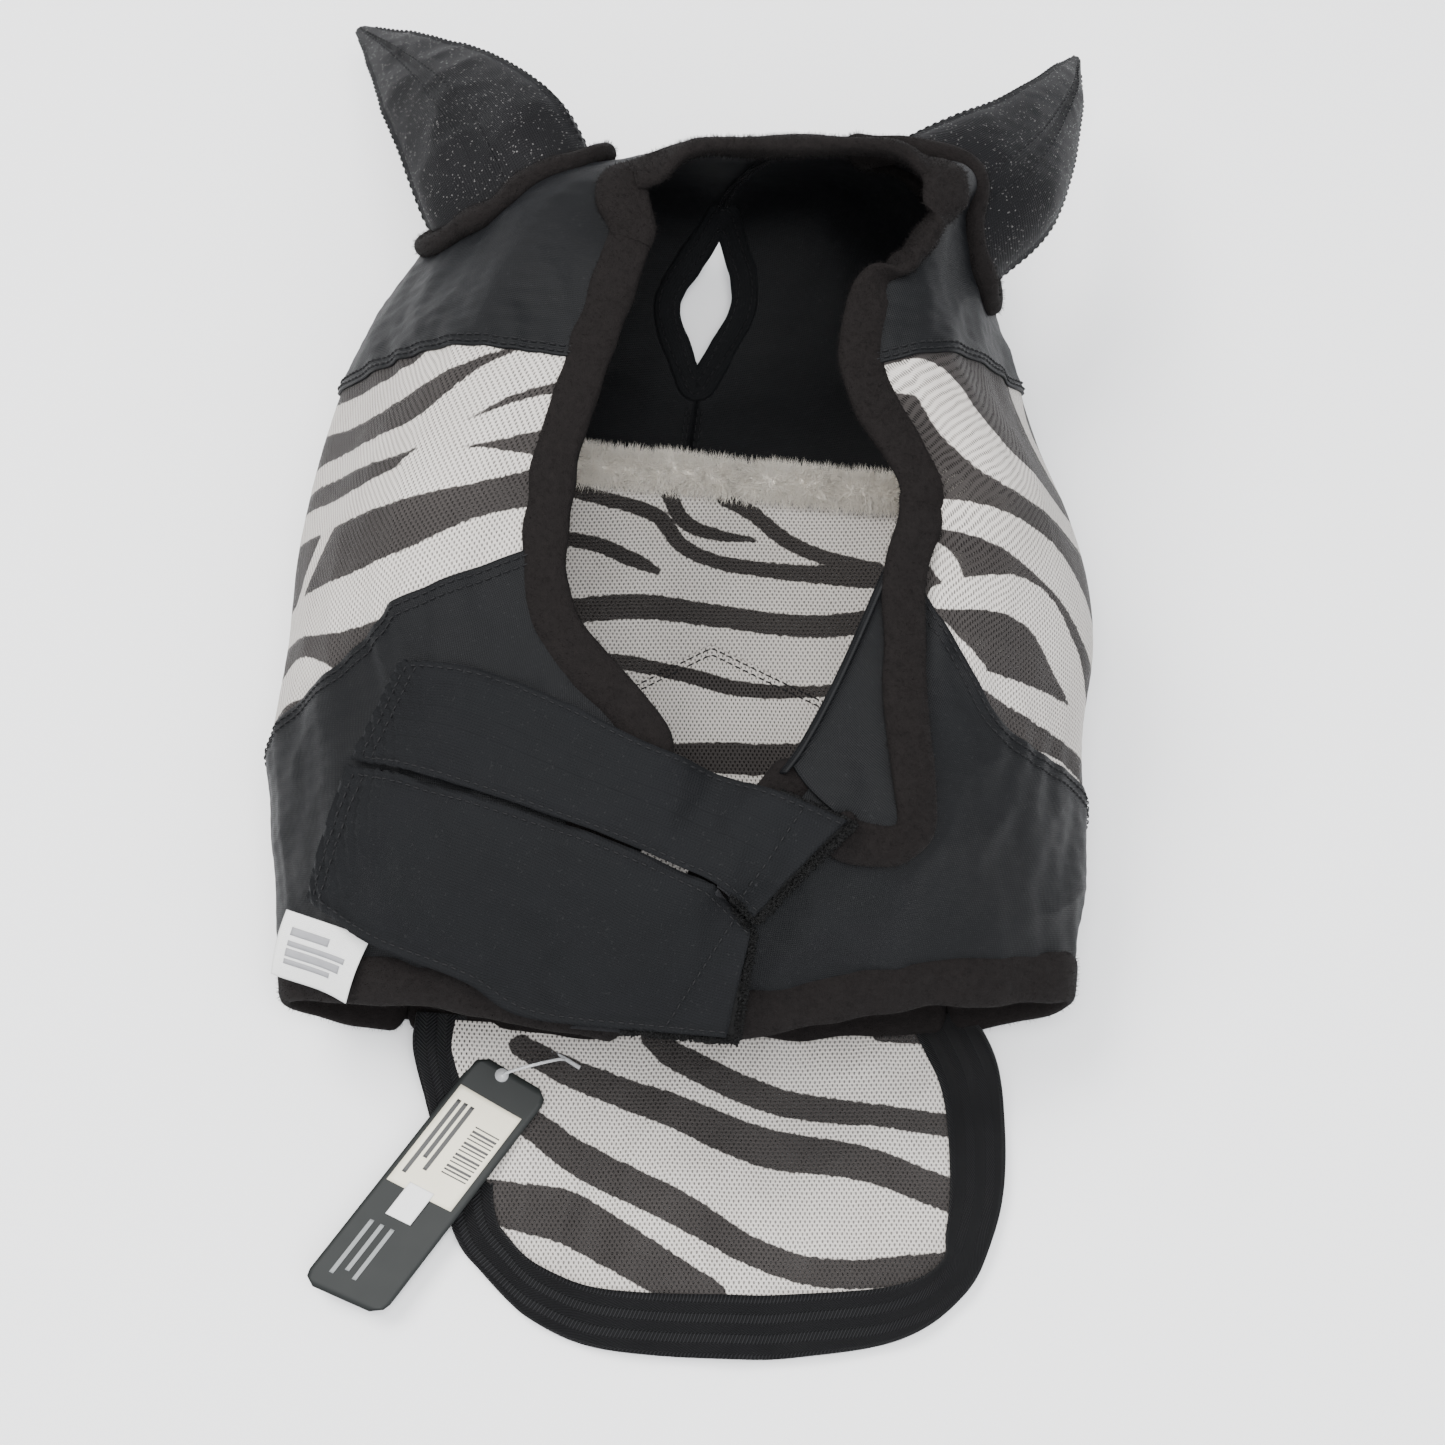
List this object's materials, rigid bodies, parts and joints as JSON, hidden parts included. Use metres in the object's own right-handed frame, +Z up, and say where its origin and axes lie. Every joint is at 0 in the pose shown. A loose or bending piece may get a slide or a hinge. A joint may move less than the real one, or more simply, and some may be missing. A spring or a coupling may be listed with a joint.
{
  "type": "pony fly mask",
  "caption": "Mesh face mask for a pony, with ear covers, a nose flap, jaw straps that lift open and a swing tag.",
  "frame": {"origin": "centre of the bounding box's base, on the floor that the mask's face lies on", "axes": "+X across the head towards the horse's right, +Y from the nose flap towards the ears, +Z up, away from the face and towards the jaw"},
  "size_m": [0.2924, 0.496, 0.1531],
  "materials": {
    "zebra_mesh": "open knitted mesh with printed stripes",
    "black_cloth": "smooth nylon with a dull sheen",
    "plush_binding": "short plush",
    "fleece": "fluffy fleece",
    "ear_mesh": "fine glittering mesh",
    "strap_cloth": "matt brushed cloth",
    "hook_tape": "hook tape",
    "loop_tape": "loop tape",
    "webbing": "herringbone webbing",
    "label_satin": "satin",
    "tag_board": "matt coated card",
    "sticker_paper": "paper",
    "clear_filament": "clear"
  },
  "bodies": {
    "shell": {"face_mesh_panel": "zebra_mesh", "left_eye_mesh": "zebra_mesh", "right_eye_mesh": "zebra_mesh", "left_cheek_panel": "black_cloth", "right_cheek_panel": "black_cloth", "nose_lining_mesh": "zebra_mesh", "muzzle_binding_left": "plush_binding", "muzzle_binding_right": "plush_binding", "muzzle_binding_front": "plush_binding", "rim_binding_left": "plush_binding", "rim_binding_right": "plush_binding", "rim_binding_right_low": "plush_binding", "right_cheek_fold": "black_cloth", "right_turnback": "black_cloth", "turnback_binding": "plush_binding", "poll_binding": "plush_binding", "brow_fleece_pad": "fleece", "left_crown_panel": "black_cloth", "right_crown_panel": "black_cloth", "forelock_facing": "black_cloth", "left_ear_binding": "plush_binding", "right_ear_binding": "plush_binding", "upper_loop_pad": "loop_tape", "lower_loop_pad": "loop_tape"},
    "upper_strap_body": {"upper_strap": "strap_cloth", "upper_hook_pad": "hook_tape"},
    "lower_strap_body": {"lower_strap": "strap_cloth", "lower_hook_pad": "hook_tape"},
    "left_ear": {"left_ear_back": "ear_mesh", "left_ear_front": "ear_mesh"},
    "right_ear": {"right_ear_back": "ear_mesh", "right_ear_front": "ear_mesh"},
    "nose_flap": {"nose_flap_webbing": "webbing", "nose_flap_mesh": "zebra_mesh", "tag_fastener": "clear_filament"},
    "swing_tag": {"tag_card": "tag_board", "tag_sticker": "sticker_paper", "price_sticker": "sticker_paper"},
    "label": {"size_label": "label_satin"}
  },
  "joints": [
    {"name": "upper_strap_lift", "type": "hinge", "parent": "shell", "child": "upper_strap_body", "pos_m": [-0.102, -0.052, 0.1104], "axis": [-0.4742, -0.6849, -0.5532], "range_deg": [0, 110]},
    {"name": "lower_strap_lift", "type": "hinge", "parent": "shell", "child": "lower_strap_body", "pos_m": [-0.12, -0.0875, 0.0823], "axis": [-0.2875, -0.7598, -0.5832], "range_deg": [0, 110]},
    {"name": "nose_flap_fold", "type": "hinge", "parent": "shell", "child": "nose_flap", "pos_m": [0.007, -0.139, 0.0015], "axis": [-1, 0, 0], "range_deg": [0, 50]},
    {"name": "swing_tag_turn", "type": "hinge", "parent": "nose_flap", "child": "swing_tag", "pos_m": [-0.065, -0.154, 0.0044], "axis": [0, 0, 1], "range_deg": [-20, 25]},
    {"name": "left_ear_lift", "type": "hinge", "parent": "shell", "child": "left_ear", "pos_m": [-0.06863, 0.13489, 0.12278], "axis": [0.8845, 0.2728, 0.3785], "range_deg": [0, 25]},
    {"name": "right_ear_lift", "type": "hinge", "parent": "shell", "child": "right_ear", "pos_m": [0.10338, 0.13728, 0.11848], "axis": [0.5087, -0.7806, -0.3632], "range_deg": [0, 25]},
    {"name": "size_label_flip", "type": "hinge", "parent": "shell", "child": "label", "pos_m": [-0.1257, -0.1162, 0.0652], "axis": [-0.7173, 0.5921, -0.3674], "range_deg": [0, 60]}
  ]
}
